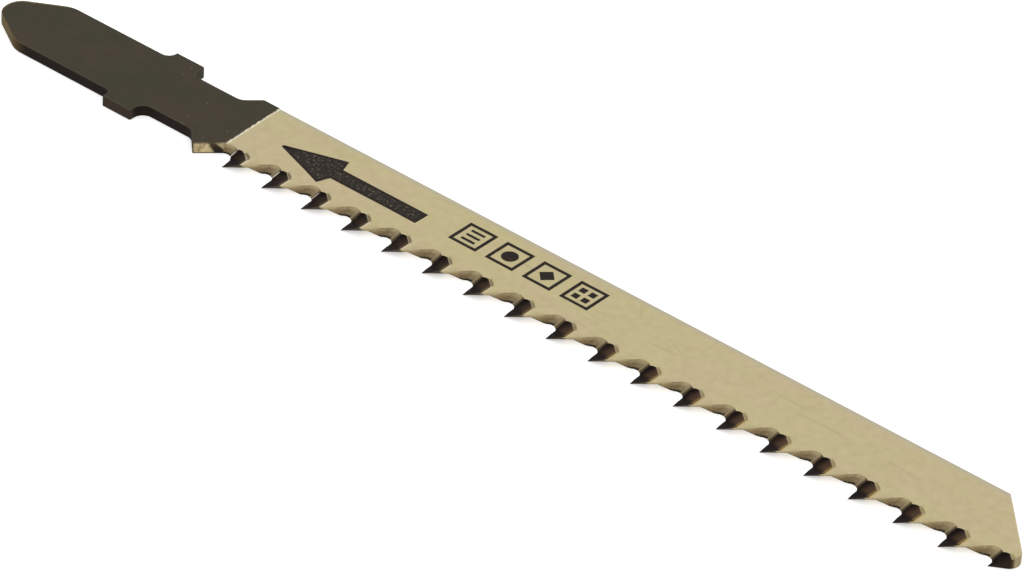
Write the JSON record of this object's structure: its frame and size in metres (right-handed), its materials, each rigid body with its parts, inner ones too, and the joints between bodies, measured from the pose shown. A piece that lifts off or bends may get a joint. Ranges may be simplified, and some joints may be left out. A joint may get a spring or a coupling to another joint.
{
  "type": "jigsaw blade",
  "caption": "Flat jigsaw blade with a lugged dark shank, a bright ground toothed part, obliquely ground teeth and a slanted end.",
  "frame": {"origin": "on the underside, on the centre line of the tang, level with the front of the lugs", "axes": "+X along the blade from the tang to the free end, +Y to the smooth back edge, +Z out of the ground face; the teeth point to -Y"},
  "size_m": [0.0998, 0.0084, 0.001],
  "materials": {
    "steel": "ground bright steel, with a dull black oxide shank"
  },
  "bodies": {
    "root": {"blade": "steel"}
  },
  "joints": []
}
